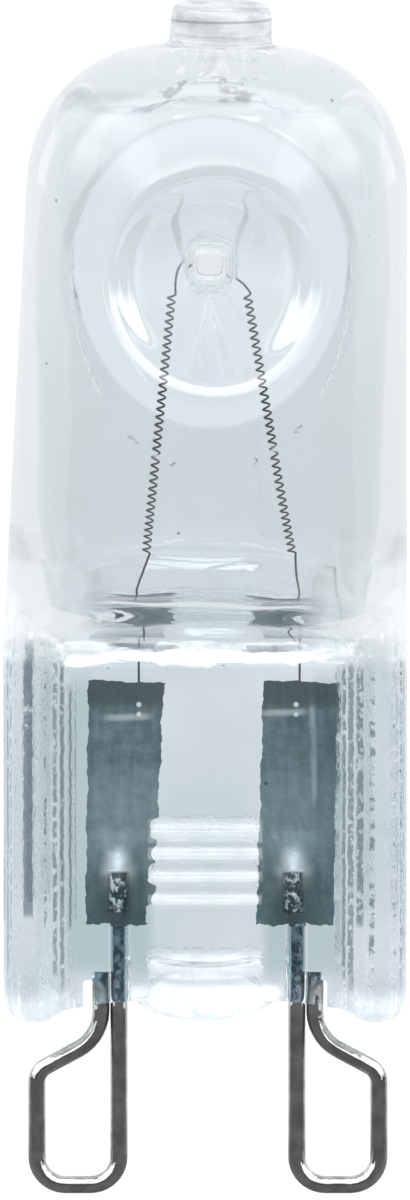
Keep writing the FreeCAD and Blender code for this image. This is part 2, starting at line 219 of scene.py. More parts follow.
def outer_ring(z, press=None):
    """A ring of the outside: the bulb's circle, or what the press left of it."""
    ring = []
    for k in range(COLUMNS):
        q, sx, sy = quarter_of(k)
        r = bulb_radius(z)
        cx, cy = r * math.sin(q * TURN), r * math.cos(q * TURN)
        if z > BULB_FOOT + 0.2:
            x, y = cx, cy
        elif z < SEAL_TOP:
            x, y = SEAL[q]
        else:
            t = ease((z - SEAL_TOP) / 3.0)
            x = SEAL[q][0] + (cx - SEAL[q][0]) * t
            round_y = math.sqrt(max(r * r - x * x, 0.0))
            y = min(round_y, press)
            # The rail's inner flank fades out above the seal, and its crest and side go over to the bulb by themselves
            if 4 <= q <= 6:
                y = max(y, SEAL[q][1] * (1 - ease((z - 13.0) / 1.4)))
            elif q >= 7:
                t = ease((z - 12.9) / 1.7)
                x = SEAL[q][0] + (cx - SEAL[q][0]) * t
                y = SEAL[q][1] + (cy - SEAL[q][1]) * t
        ring.append(Vector((sx * x, sy * y, z)))
    return ring


def seal_end_ring(depth, lift):
    """A ring at the seal's lower end, drawn in through the thickness."""
    ring = []
    for k in range(COLUMNS):
        q, sx, sy = quarter_of(k)
        x, y = SEAL[q]
        if q >= 8:
            x -= (1 - depth) * 0.55
        ring.append(Vector((sx * x, sy * y * depth, SEAL_END[q] + lift)))
    return ring


def round_ring(r, z):
    return [Vector((r * math.sin(k * TURN), -r * math.cos(k * TURN), z)) for k in range(COLUMNS)]


def close_flat_end(ring):
    """Closes a flattened ring from its front columns to its back ones."""
    mesh = open_mesh()
    corners = [min(mesh.verts, key=lambda corner, p=p: (corner.co - p).length_squared) for p in ring]
    for k in range(QUARTER):
        for a, b in ((k, k + 1), (-k - 1, -k)):
            loop = []
            for c in (a, b, 2 * QUARTER - b, 2 * QUARTER - a):
                corner = corners[c % COLUMNS]
                if corner not in loop:
                    loop.append(corner)
            mesh.faces.new(loop)
    close_mesh()


def draw_tube(name, rings):
    """A tube of the column count, drawn up through the rings, left open at both ends."""
    bpy.ops.mesh.primitive_circle_add(vertices=COLUMNS, radius=1.0, fill_type="NOTHING")
    piece = start_piece(name)
    bpy.ops.mesh.select_all(action="SELECT")
    seat(round_ring(1.0, 0.0), rings[0])
    draw_on(rings[0], rings[1:])
    return piece


def square_turn(u, v):
    """The direction on a circle that answers to a point on a square's edge."""
    if abs(u) >= abs(v):
        return math.pi / 4 * v / u + (0 if u > 0 else math.pi)
    return math.pi / 2 - math.pi / 4 * u / v + (0 if v > 0 else math.pi)


def ease_in_patch(side, reach, radius, skin, spot):
    """Eases the square mesh round the patch over to the round mouth."""
    mesh = open_mesh()
    for corner in mesh.verts:
        u, v = spot(corner.co)
        far = max(abs(u), abs(v))
        if corner.co.y * side <= 0 or not reach - 0.1 < far < reach + 3.1:
            continue
        angle, r = square_turn(u, v), radius * far / reach
        x, z = POST.x + r * math.cos(angle), POST.z + r * math.sin(angle)
        share = 1 - ease((far - reach) / 3.5)
        x, z = corner.co.x + (x - corner.co.x) * share, corner.co.z + (z - corner.co.z) * share
        if abs(x) < skin(z) * 0.98:
            corner.co = Vector((x, side * math.sqrt(skin(z) ** 2 - x * x), z))
    close_mesh()


def open_patch(side, reach, step, radius, skin):
    """Takes the faces out of a patch round the post, and gives its edge corners and their directions."""

    def spot(p):
        return math.atan2(p.x, side * p.y) / TURN, (p.z - POST.z) / step

    def inside(face):
        u, v = spot(face.calc_center_median())
        return face.calc_center_median().y * side > 0 and abs(u) < reach and abs(v) < reach

    pick("FACE", inside)
    bpy.ops.mesh.delete(type="FACE")
    ease_in_patch(side, reach, radius, skin, spot)

    pick("VERT", lambda corner: corner.co.y * side > 0 and corner.is_boundary and abs(corner.co.z - POST.z) < 6)
    mesh = open_mesh()
    edge = [corner.co.copy() for corner in mesh.verts if corner.select]
    return edge, [math.atan2(p.z - POST.z, p.x - POST.x) for p in edge]


def squared(r, angle, amount):
    """A point on a circle that goes over to a rounded square by the amount."""
    c, s = math.cos(angle), math.sin(angle)
    square = r / (c**4 + s**4) ** 0.25
    reach = r + (square - r) * amount
    return POST.x + reach * c, POST.z + reach * s


def dent_rings(side, turns):
    """The rings of a dent, from the bulb's side in to its squared end near the middle."""
    rings = []
    # The ring's radius, how far it lies under the skin, the most that it lies from the middle, and how square it is
    for r, sink, limit, amount in (
        (OUTER_MOUTH, 0, 9, 0), (3.88, 0.02, 9, 0), (3.70, 0.12, 9, 0), (3.52, 0.34, 9, 0), (3.28, 0.75, 5.95, 0),
        (2.85, 0, 5.19, 0), (2.30, 0, 4.22, 0), (1.80, 0, 3.34, 0), (1.30, 0, 2.46, 0), (0.92, 0, 1.78, 0.2),
        (0.70, 0, 1.28, 0.6), (0.60, 0, 0.90, 1), (0.575, 0, 0.50, 1), (0.53, 0, 0.37, 1), (0.24, 0, 0.35, 1),
    ):
        ring = []
        for angle in turns:
            x, z = squared(r, angle, amount)
            x += MOUTH_SHIFT * max(r - 1.0, 0.0) / (OUTER_MOUTH - 1.0)
            skin = math.sqrt(max(bulb_radius(z) ** 2 - x * x, 0.0))
            ring.append(Vector((x, side * min(skin - sink, limit), z)))
        rings.append(ring)
    return rings


def lean_over(foot, full):
    """Turns what is above the foot with the bulb, which leans over the seal."""
    mesh = open_mesh()
    pivot = Vector((0.0, 0.0, SEAL_TOP))
    for corner in mesh.verts:
        amount = ease((corner.co.z - foot) / (full - foot)) if full > foot else 1.0
        corner.co = pivot + Matrix.Rotation(LEAN * amount, 3, "Y") @ (corner.co - pivot)
    close_mesh()


def outer_skin():
    """The outside of the glass as one closed skin, from the seal's end up to the tip, with both dents."""
    rings = [seal_end_ring(0.62, 0.0), seal_end_ring(0.92, 0.13), seal_end_ring(1.0, 0.62)]
    rings += [outer_ring(z) for z in (2.2, 4.6, 7.0, 9.2, 11.0, 11.7)]
    rings += [outer_ring(z, press) for z, press in SHOULDER]
    rings += [outer_ring(z) for z in (15.8, 17.0, 18.5, 20.1, 21.6, 22.6, 23.6, 24.6, 25.6, 26.6, 27.6, 28.6, 29.6)]
    for turn in (30, 45, 59, 73, 86):
        a = math.radians(turn)
        rings.append(round_ring(DOME_X + DOME_RADIUS * math.cos(a), DOME_Z + DOME_RADIUS * math.sin(a)))
    rings += [round_ring(r, z) for r, z in ((1.86, 33.12), (1.76, 33.32), (1.75, 33.80), (1.75, 34.24))]
    rings += [round_ring(r, z) for r, z in ((1.60, 34.52), (1.20, 34.65), (0.60, 34.67))]
    skin = draw_tube("outer_skin", rings)
    bpy.ops.mesh.edge_face_add()
    close_flat_end(rings[0])
    for side in (-1, 1):
        edge, turns = open_patch(side, 4, 1.0, OUTER_MOUTH, bulb_radius)
        rings = dent_rings(side, turns)
        seat(edge, rings[0])
        draw_on(rings[0], rings[1:])
        bpy.ops.mesh.edge_face_add()
    lean_over(SEAL_TOP, BULB_FOOT)
    bpy.ops.object.mode_set(mode="OBJECT")
    with_modifier(skin, "SUBSURF", levels=2, render_levels=2)
    face_outwards(skin)
    return skin


# ---------------------------------------------------------------- glass: the gas space

# The gas space in profile: its radius at the floor, where it has widened, and above, and the arc round its ceiling
FLOOR_RADIUS, WIDE_RADIUS, BORE_RADIUS = 5.45, 6.00, 6.05
FLOOR_Z, WIDENING = 13.2, 3.7
CEILING_RADIUS, CEILING_X, CEILING_Z = 2.0, 3.66, 29.85
# The floor's rings: height, and half the thickness of the wedge
FLOOR = ((12.75, 0.35), (12.83, 0.75), (13.05, 1.50), (13.40, 2.75), (13.85, 4.10), (14.35, 5.10), (15.0, 5.75))
# How much narrower the lowest ring is, how far the floor's ends are drawn up, and the rows' distance round the post
FLOOR_NARROW, END_LIFT = 0.92, 0.9
PATCH_ROW = 0.94


def bore_radius(z):
    """The inside of the bulb: widening from the floor, tapered, then rounded in to the ceiling."""
    if z < FLOOR_Z + WIDENING:
        return FLOOR_RADIUS + (WIDE_RADIUS - FLOOR_RADIUS) * min(max((z - FLOOR_Z) / WIDENING, 0.0), 1.0)
    if z < CEILING_Z:
        return BORE_RADIUS - (z - BULB_FOOT) * TAPER
    return CEILING_X + math.sqrt(max(CEILING_RADIUS**2 - (z - CEILING_Z) ** 2, 0.0))


def bore_ring(z, wedge=math.inf):
    """A ring of the gas space: a circle, or one that the wedge of the floor has flattened."""
    ring = []
    for k in range(COLUMNS):
        q, sx, sy = quarter_of(k)
        r = bore_radius(z)
        x, y = r * math.sin(q * TURN), min(r * math.cos(q * TURN), wedge)
        ring.append(Vector((sx * x, sy * y, z)))
    return ring


def post_rings(side, turns):
    """The rings of the glass round a dent as the gas space sees it, from the wall in to the square waist."""
    rings = []
    # Half the ring's width and height, how far under the wall, the most from the middle, and how square it is
    for wide, high, sink, limit, amount in (
        (4.30, 4.30, 0.0, 9, 0), (4.08, 4.08, 0.02, 9, 0), (3.86, 3.88, 0.12, 9, 0), (3.62, 3.66, 0.36, 5.80, 0),
        (3.34, 3.40, 0.80, 5.38, 0), (2.88, 2.90, 0, 4.54, 0), (2.30, 2.30, 0, 3.49, 0), (1.80, 1.80, 0, 2.61, 0),
        (1.40, 1.40, 0, 1.90, 0), (1.08, 1.08, 0, 1.34, 0.2), (0.86, 0.86, 0, 0.92, 0.6), (0.75, 0.75, 0, 0.56, 1),
        (0.70, 0.70, 0, 0.24, 1),
    ):
        ring = []
        for angle in turns:
            x, z = squared(1.0, angle, amount)
            x, z = POST.x + (x - POST.x) * wide, POST.z + (z - POST.z) * high
            x += MOUTH_SHIFT * max(wide - 1.0, 0.0) / (INNER_MOUTH - 1.0)
            skin = math.sqrt(max(bore_radius(z) ** 2 - x * x, 0.0))
            ring.append(Vector((x, side * min(skin - sink, limit), z)))
        rings.append(ring)
    return rings


def floor_rings():
    """The rings of the gas space's floor, a wedge along the seal whose two ends are drawn up."""
    rings = []
    for i, (z, wedge) in enumerate(FLOOR):
        lift = END_LIFT * (1 - i / len(FLOOR))
        narrow = FLOOR_NARROW if i == 0 else 1.0
        ring = [Vector((p.x * narrow, p.y, p.z)) for p in bore_ring(z, wedge)]
        rings.append([Vector((p.x, p.y, p.z + lift * (p.x / 5.4) ** 2)) for p in ring])
    return rings


def gas_skin():
    """The gas space as one closed skin that faces inwards, with the glass of the post left out of it."""
    rings = floor_rings()
    rings += [bore_ring(z) for z in (16.0, 17.2, 18.6, 19.9)]
    rings += [bore_ring(POST.z + PATCH_ROW * v) for v in range(-5, 6)]
    arc = CEILING_RADIUS + 0.02
    for turn in (34, 56, 77):
        a = math.radians(turn)
        rings.append(round_ring(CEILING_X + arc * math.cos(a), CEILING_Z + arc * math.sin(a)))
    rings += [round_ring(r, z) for r, z in ((3.1, 31.86), (2.2, 31.88), (1.2, 31.92), (0.62, 31.97))]
    rings += [round_ring(r, z) for r, z in ((0.52, 32.10), (0.30, 32.22), (0.12, 32.25))]
    skin = draw_tube("gas_skin", rings)
    bpy.ops.mesh.edge_face_add()
    close_flat_end(rings[0])
    ends = []
    for side in (-1, 1):
        edge, turns = open_patch(side, 5, PATCH_ROW, INNER_MOUTH, bore_radius)
        rings = post_rings(side, turns)
        seat(edge, rings[0])
        ends += draw_on(rings[0], rings[1:])
    pick("VERT", lambda corner: any((corner.co - p).length < 1e-4 for p in ends))
    bpy.ops.mesh.select_mode(type="EDGE")
    bpy.ops.mesh.bridge_edge_loops()
    lean_over(0.0, 0.0)
    bpy.ops.object.mode_set(mode="OBJECT")
    with_modifier(skin, "SUBSURF", levels=2, render_levels=2)
    face_outwards(skin)
    take(skin)
    bpy.ops.object.mode_set(mode="EDIT")
    bpy.ops.mesh.select_all(action="SELECT")
    bpy.ops.mesh.flip_normals()
    bpy.ops.object.mode_set(mode="OBJECT")
    return skin


# ---------------------------------------------------------------- glass: press marks, bead, bores and slots

RIBS, TOP_RIB, RIB_STEP = 4, 6.05, 0.8
LOW_BAR = 1.39


def pressed_bar(length, r, y, z):
    """A round-ended bar across the web: a ball whose halves are moved apart."""
    bpy.ops.mesh.primitive_uv_sphere_add(segments=20, ring_count=12, radius=r, location=(0, 0, 0))
    piece = start_piece("press_mark")
    bpy.ops.mesh.select_all(action="SELECT")
    bpy.ops.transform.resize(value=(1.001, 1, 1))
    for side in (-1, 1):
        pick("VERT", lambda corner: corner.co.x * side > 1e-5)
        bpy.ops.transform.translate(value=(side * (length / 2 - r), 0, 0))
    bpy.ops.mesh.select_all(action="SELECT")
    bpy.ops.transform.translate(value=(0, y, z))
    bpy.ops.object.mode_set(mode="OBJECT")
    return piece


def glass_bead():
    """The drop of glass under the middle of the web."""
    bpy.ops.mesh.primitive_uv_sphere_add(segments=40, ring_count=20, radius=1.0, location=(0, 0, 0))
    piece = start_piece("bead")
    bpy.ops.mesh.select_all(action="SELECT")
    bpy.ops.transform.resize(value=(2.62, 1.92, 1.20))
    bpy.ops.transform.translate(value=(0, 0, 0.44))
    bpy.ops.object.mode_set(mode="OBJECT")
    return piece


def bore_tool(x, top, r):
    """What leaves the narrow gap round a wire in the glass."""
    place = (x, WIRE_Y, top / 2 - 1.0)
    bpy.ops.mesh.primitive_cylinder_add(vertices=28, radius=r, depth=top + 2.0, location=place)
    piece = start_piece("bore_tool")
    bpy.ops.mesh.select_all(action="SELECT")
    bpy.ops.object.mode_set(mode="OBJECT")
    bpy.ops.object.transform_apply(location=True, rotation=True, scale=True)
    return piece


def slot_tool(side):
    """What leaves the slot through the seal beside a cut end, rounded at its top."""

    def across_the_top(edge):
        a, b = (corner.co for corner in edge.verts)
        return min(a.z, b.z) > 0.5 and abs(a.y - b.y) > 1

    bpy.ops.mesh.primitive_cube_add(size=1.0, location=(side * 4.01, 0.0, -0.6), scale=(0.42, 8.0, 2.9))
    bpy.ops.object.transform_apply(location=True, rotation=True, scale=True)
    piece = start_piece("slot_tool")
    pick("EDGE", across_the_top)
    bpy.ops.mesh.bevel(offset=0.14, segments=3)
    bpy.ops.object.mode_set(mode="OBJECT")
    return piece


def work_glass(glass, tool, operation):
    with_modifier(glass, "BOOLEAN", operation=operation, object=tool, solver="EXACT")
    bpy.data.objects.remove(tool)


def glass_envelope():
    """The glass: the pressed and blown outside, its ribs, bead, bores and slots, and the gas space in it."""
    glass = outer_skin()
    marks = []
    for side in (-1, 1):
        for i in range(RIBS):
            marks.append(pressed_bar(3.9, 0.38, side * 1.06, TOP_RIB - RIB_STEP * i))
        marks.append(pressed_bar(4.2, 0.42, side * 1.10, LOW_BAR))
    # Neighbours all but touch, so every other one goes on first
    for mark in marks[1::2] + marks[0::2]:
        work_glass(glass, mark, "UNION")
    work_glass(glass, glass_bead(), "UNION")
    for side in (-1, 1):
        work_glass(glass, bore_tool(side * INNER_LEG + CONTACTS_X, 2.60, WIRE_RADIUS + 0.12), "DIFFERENCE")
        work_glass(glass, bore_tool(side * CUT_END + CONTACTS_X, 1.02, WIRE_RADIUS + 0.06), "DIFFERENCE")
        work_glass(glass, slot_tool(side), "DIFFERENCE")
    return merge("glass_envelope", glass, gas_skin())


# ---------------------------------------------------------------- contact wires

LOOP_FOOT, LOOP_SHOULDER = -6.54, -2.57


def corner_bends(route):
    """(start, end, centre, turn) of the bend at each inner corner of a route of (x, z, radius)."""
    bends = []
    for (ax, az, _), (bx, bz, radius), (cx, cz, _) in zip(route, route[1:], route[2:]):
        here = Vector((bx, 0, bz))
        back = (Vector((ax, 0, az)) - here).normalized()
        ahead = (Vector((cx, 0, cz)) - here).normalized()
        half = back.angle(ahead) / 2
        reach = radius / math.tan(half)
        centre = here + (back + ahead).normalized() * (radius / math.sin(half))
        turn = math.pi - 2 * half
        hand = (-back).cross(ahead).y
        bends.append((here + back * reach, here + ahead * reach, centre, math.copysign(turn, hand)))
    return bends


def bent_wire(name, route, radius, y, sides, steps):
    """A round wire that starts at the route's first point and is bent round each of its corners."""
    x, z, _ = route[0]
    bpy.ops.mesh.primitive_circle_add(vertices=sides, radius=radius, fill_type="NGON", location=(x, y, z))
    bpy.ops.object.transform_apply(location=True, rotation=True, scale=True)
    wire = start_piece(name)
    bpy.ops.mesh.select_all(action="SELECT")
    here = Vector((x, 0, z))
    for start, end, centre, turn in corner_bends(route):
        bpy.ops.mesh.extrude_region_move(TRANSFORM_OT_translate={"value": start - here})
        count = max(3, round(abs(turn) / math.radians(90) * steps))
        bpy.ops.mesh.spin(
            steps=count, angle=-turn, center=(centre.x, y, centre.z), axis=(0, 1, 0), use_auto_merge=False
        )
        here = end
    x, z, _ = route[-1]
    bpy.ops.mesh.extrude_region_move(TRANSFORM_OT_translate={"value": Vector((x, 0, z)) - here})
    bpy.ops.object.mode_set(mode="OBJECT")
    return wire


def contact_loop(side):
    """One outer wire, from its weld on the foil round its loop to the cut end beside the first leg."""
    inner, cut, outer = (side * leg + CONTACTS_X for leg in (INNER_LEG, CUT_END, OUTER_LEG))
    rise = abs(outer - cut) * math.tan(math.radians(28.3))
    # Each corner's x, z and the radius of its bend
    route = [
        (inner, 4.34, 0), (inner, LOOP_FOOT, 0.98), (outer, LOOP_FOOT, 0.98), (outer, LOOP_SHOULDER, 0.63),
        (cut, LOOP_SHOULDER + rise, 1.50), (cut, 0.97, 0),
    ]
    name = "contact_wire_left" if side < 0 else "contact_wire_right"
    wire = bent_wire(name, route, WIRE_RADIUS, WIRE_Y, sides=24, steps=10)
    face_outwards(wire)
    return wire


# ---------------------------------------------------------------- filament

FILAMENT_Y = 0.06
COIL_TURNS, COIL_RADIUS, FINE_WIRE = 34, 0.125, 0.04
COIL_FOOT, COIL_HEAD = 15.15, 24.50
LEGS_X = ((-2.07, -1.14), (3.03, 1.45))
# (x, z) along the straight tails, from the foils up to the coils
TAILS = (
    ((-2.28, 9.9), (-2.28, 11.6), (-2.30, 12.9), (-2.36, 13.8), (-2.16, 14.6)),
    ((3.26, 9.9), (3.26, 11.6), (3.28, 12.9), (3.36, 13.6), (3.16, 14.4)),
)


def drawn_wire(name, points):
    """A fine wire along a smooth line that the points lead."""
    curve = bpy.data.curves.new(name, "CURVE")
    curve.dimensions = "3D"
    line = curve.splines.new("NURBS")
    line.points.add(len(points) - 1)
    for place, p in zip(line.points, points):
        place.co = (*p, 1.0)
    line.use_endpoint_u = True
    line.order_u = 3
    line.resolution_u = 4
    curve.bevel_depth = FINE_WIRE
    curve.bevel_resolution = 2
    curve.use_fill_caps = True
    piece = bpy.data.objects.new(name, curve)
    bpy.context.scene.collection.objects.link(piece)
    take(piece)
    bpy.ops.object.convert(target="MESH")
    return bpy.context.object


def wound_leg(foot, head):
    """A coiled leg: a small ring screwed up its axis, turned to the leg's slant."""
    length = (head - foot).length
    upright = (math.pi / 2, 0, 0)
    bpy.ops.mesh.primitive_circle_add(vertices=6, radius=FINE_WIRE, fill_type="NOTHING", rotation=upright)
    bpy.ops.object.transform_apply(location=True, rotation=True, scale=True)
    piece = start_piece("wound_leg")
    bpy.ops.mesh.select_all(action="SELECT")
    bpy.ops.transform.translate(value=(COIL_RADIUS, 0, 0))
    bpy.ops.object.mode_set(mode="OBJECT")
    with_modifier(
        piece, "SCREW", axis="Z", angle=2 * math.pi, steps=14, render_steps=14,
        screw_offset=length / COIL_TURNS, iterations=COIL_TURNS, use_merge_vertices=False,
    )
    take(piece)
    piece.rotation_mode = "QUATERNION"
    piece.rotation_quaternion = Vector((0, 0, 1)).rotation_difference((head - foot).normalized())
    piece.location = foot
    bpy.ops.object.transform_apply(location=True, rotation=True, scale=True)
    return piece


def whole_filament():
    """The filament as one piece: tail, coiled leg, the bare wire over the post, coiled leg, tail."""
    y = FILAMENT_Y
    legs, tails, heads = [], [], []
    start = Vector((COIL_RADIUS, 0, 0))
    for (foot_x, head_x), tail in zip(LEGS_X, TAILS):
        foot, head = Vector((foot_x, y, COIL_FOOT)), Vector((head_x, y, COIL_HEAD))
        legs.append(wound_leg(foot, head))
        slant = Vector((0, 0, 1)).rotation_difference((head - foot).normalized())
        tails.append([Vector((x, y, z)) for x, z in tail] + [foot + slant @ start])
        heads.append(head + slant @ start)
    tails = [drawn_wire("tail", tail) for tail in tails]

    pivot = Vector((0.0, 0.0, SEAL_TOP))
    post = pivot + Matrix.Rotation(LEAN, 3, "Y") @ (POST - pivot)
    over = [heads[0], Vector((-1.06, y, 25.25))]
    for turn in range(165, -30, -15):
        a = math.radians(turn)
        c, s = math.cos(a), math.sin(a)
        reach = 0.76 / (c**4 + s**4) ** 0.25
        over.append(Vector((post.x + reach * c, y, post.z + reach * s)))
    over += [Vector((1.02, y, 25.05)), Vector((1.36, y, 24.86)), heads[1]]
    whole = merge("filament_wire", *legs, *tails, drawn_wire("over_the_post", over))
    face_outwards(whole)
    return whole


# ---------------------------------------------------------------- seal foils

FOIL_FOOT, FOIL_TOP, FOIL_THICKNESS = 2.66, 11.18, 0.04
# x of a foil's left edge and of its right edge, each at the foot and at the top
LEFT_FOIL = ((-4.13, -4.02), (-1.80, -1.42))
RIGHT_FOIL = ((1.78, 2.02), (4.50, 4.72))
WELD_Z = (3.15, 4.45)
# x of the painted highlight dots where each filament tail is fixed on its foil
TAIL_DOTS_X = {-1: -2.28, 1: 3.14}
# Heights at which the ribs bit into the left foil's inner edge
BITES = (6.05, 4.45, 3.0)


def weld_x(side):
    """The middle of the weld on a foil, where the outer wire ends."""
    return -3.0 if side < 0 else 3.05


def rough(n, seed, fine=1.0):
    """A value between -1 and 1 that wanders along an edge."""
    waves = ((1.0, 1.7, 1.0), (0.7, 4.3, 2.1), (0.5, 9.7, 1.0), (0.35, 21.3, 3.3))
    total = sum(high * math.sin(pitch * n * fine + share * seed) for high, pitch, share in waves)
    return total / sum(high for high, pitch, share in waves)


def seal_foil(side):
    """A foil cut a little askew, with nibbled edges, pushed forward over the end of the outer wire."""
    (left_foot, left_top), (right_foot, right_top) = LEFT_FOIL if side < 0 else RIGHT_FOIL
    middle = weld_x(side)
    bpy.ops.mesh.primitive_grid_add(x_subdivisions=44, y_subdivisions=140, size=1.0, location=(0, 0, 0))
    foil = start_piece("foil_left" if side < 0 else "foil_right")
    mesh = open_mesh()
    for corner in mesh.verts:
        u, v = corner.co.x + 0.5, corner.co.y + 0.5
        z = FOIL_FOOT + (FOIL_TOP - FOIL_FOOT) * v
        left = left_foot + (left_top - left_foot) * v + 0.06 * rough(1.6 * z, 1.3 + side)
        right = right_foot + (right_top - right_foot) * v + 0.07 * rough(1.6 * z, 4.1 + side)
        if side < 0:
            for bite in BITES:
                right -= 0.24 * ease((0.42 - abs(z - bite)) / 0.14)
        x = left + (right - left) * u
        z += 0.05 * rough(x, 2.0 + side, 2.0) * ease((v - 0.9) / 0.1)
        z -= 0.09 * rough(x, 5.0 + side, 2.0) * ease((0.1 - v) / 0.1)
        z -= 0.12 * (x - left) / (right - left) * v

        over = max(z - WELD_Z[1], 0.0)
        width = 0.27 + 0.42 * over
        push = math.exp(-(((x - middle) / width) ** 2)) * max(1 - over / 1.5, 0.0)
        push *= ease((z - WELD_Z[0] + 0.5) / 0.5)
        lump = 0.05 * rough(6 * x, 1.0) * rough(5 * z, 2.0) * ease((WELD_Z[1] + 0.1 - z) / 0.2)
        y = -0.24 * push * (1 + lump * 3) - 0.012 * rough(0.9 * x + 0.3 * z, 2.6)
        corner.co = Vector((x, y, z))
    close_mesh()
    bpy.ops.mesh.select_all(action="SELECT")
    bpy.ops.mesh.normals_make_consistent(inside=False)
    bpy.ops.object.mode_set(mode="OBJECT")
    with_modifier(foil, "SOLIDIFY", thickness=FOIL_THICKNESS, offset=0.0)
    face_outwards(foil)
    return foil


# ---------------------------------------------------------------- materials
#
# Colours are plain reflectances, lengths are in millimetres on the part's own axes, and masks run from 0 to 1.

GLASS_IOR = 1.46


class Shade:
    """A number or colour on its way through a material; sums on it add Math nodes."""

    def __init__(self, finish, socket):
        self.finish, self.socket = finish, socket

    def maths(self, operation, *values):
        return self.finish.node("ShaderNodeMath", {"operation": operation}, dict(enumerate(values)))

    def __add__(self, other):
        return self.maths("ADD", self, other)

    __radd__ = __add__

    def __sub__(self, other):
        return self.maths("SUBTRACT", self, other)

    def __rsub__(self, other):
        return self.maths("SUBTRACT", other, self)

    def __mul__(self, other):
        return self.maths("MULTIPLY", self, other)

    __rmul__ = __mul__

    def __abs__(self):
        return self.maths("ABSOLUTE", self)

    def root(self):
        return self.maths("SQRT", self)

    def least(self, other):
        return self.maths("MINIMUM", self, other)

    def most(self, other):
        return self.maths("MAXIMUM", self, other)

    def rises(self, low, high):
        """0 up to the low value and 1 from the high one, with a smooth step between them."""
        settings = {"interpolation_type": "SMOOTHSTEP"}
        inputs = {"Value": self, "From Min": low, "From Max": high, "To Min": 0.0, "To Max": 1.0}
        return self.finish.node("ShaderNodeMapRange", settings, inputs)

    def falls(self, low, high):
        """1 up to the low value and 0 from the high one."""
        return 1 - self.rises(low, high)

    def between(self, low, high, soft):
        """1 between two values, falling to 0 over the soft width outside them."""
        return self.rises(low - soft, low) * self.falls(high, high + soft)


def strongest(masks):
    """The greatest of several masks at each spot."""
    greatest, *rest = masks
    for mask in rest:
        greatest = greatest.most(mask)
    return greatest


class Finish:
    """A material under construction, or the world."""

    def __init__(self, owner):
        self.owner = owner
        self.tree = owner.node_tree
        self.tree.nodes.clear()

    def node(self, kind, settings=None, inputs=None, out=0):
        """Adds a node: its settings first, then the values or links of its sockets."""
        made = self.tree.nodes.new(kind)
        for key, value in (settings or {}).items():
            setattr(made, key, value)
        for key, value in (inputs or {}).items():
            if isinstance(value, Shade):
                self.tree.links.new(value.socket, made.inputs[key])
            else:
                made.inputs[key].default_value = value
        return Shade(self, made.outputs[out])

    def place(self):
        """The spot on the object, and its x, y and z, in millimetres."""
        spot = self.node("ShaderNodeTexCoord", out="Object")
        spot = self.node("ShaderNodeVectorMath", {"operation": "SCALE"}, {0: spot, "Scale": 1000.0})
        return spot, self.split(spot)

    def split(self, spot):
        return [self.node("ShaderNodeSeparateXYZ", None, {0: spot}, out=i) for i in range(3)]

    def ray(self, what):
        """What the Light Path says of the ray that asks."""
        return self.node("ShaderNodeLightPath", out=what)

    def noise(self, spot, scale, detail=3.0, roughness=0.5, stretch=None):
        if stretch:
            spot = self.node("ShaderNodeVectorMath", {"operation": "MULTIPLY"}, {0: spot, 1: stretch})
        return self.node(
            "ShaderNodeTexNoise", None, {"Vector": spot, "Scale": scale, "Detail": detail, "Roughness": roughness}
        )

    def blend(self, factor, first, second):
        """A colour between two colours."""
        settings = {"data_type": "RGBA", "blend_type": "MIX", "clamp_factor": True}
        return self.node("ShaderNodeMix", settings, {0: factor, 6: first, 7: second}, out=2)

    def mix(self, factor, first, second):
        """A shader between two shaders."""
        return self.node("ShaderNodeMixShader", None, {0: factor, 1: first, 2: second})

    def bump(self, height):
        return self.node("ShaderNodeBump", None, {"Height": height, "Distance": MM, "Strength": 1.0})

    def principled(self, inputs):
        return self.node("ShaderNodeBsdfPrincipled", None, inputs)

    def give(self, shader):
        kind = "ShaderNodeOutputWorld" if isinstance(self.owner, bpy.types.World) else "ShaderNodeOutputMaterial"
        self.tree.links.new(shader.socket, self.tree.nodes.new(kind).inputs["Surface"])


def new_finish(name):
    material = bpy.data.materials.new(name)
    material.use_nodes = True
    return Finish(material)


def dress(piece, finish):
    piece.data.materials.clear()
    piece.data.materials.append(finish.owner)


# Rough upright lines that the press left on the rails: x, width, lower end, upper end, fineness, how unbroken
PRESS_LINES = (
    (-6.08, 0.28, 3.4, 12.1, 1.6, 0.66), (-5.50, 0.05, 3.0, 11.9, 5.0, 0.50), (-5.17, 0.11, 1.2, 11.8, 4.0, 0.56),
    (-4.92, 0.10, 0.6, 11.7, 3.2, 0.60), (-4.64, 0.06, 2.8, 10.8, 0.6, 0.95), (4.78, 0.08, 1.0, 11.6, 4.0, 0.60),
    (5.02, 0.16, 0.6, 11.7, 5.0, 0.58), (5.34, 0.20, 3.0, 11.6, 3.0, 0.56), (5.74, 0.14, 1.4, 11.5, 2.0, 0.48),
    (6.52, 0.07, 2.0, 12.0, 2.4, 0.40), (6.74, 0.06, 2.0, 12.2, 2.6, 0.42),
)


def press_marks(f, spot, x, z):
    """Where the rough lines on the rails are, broken and a little wavering."""
    waver = x + (f.noise(spot, 1.6, 3.0, 0.6, (0.0, 0.0, 1.0)) - 0.5) * 0.22
    marks = []
    for line, width, low, top, fine, whole in PRESS_LINES:
        broken = f.noise(spot, fine, 4.0, 0.65, (0.6, 0.6, 1.0)).rises(1 - whole - 0.06, 1 - whole + 0.06)
        upright = waver.between(line - width / 2, line + width / 2, 0.035)
        marks.append(upright * z.between(low, top, 0.3) * broken)
    return strongest(marks)


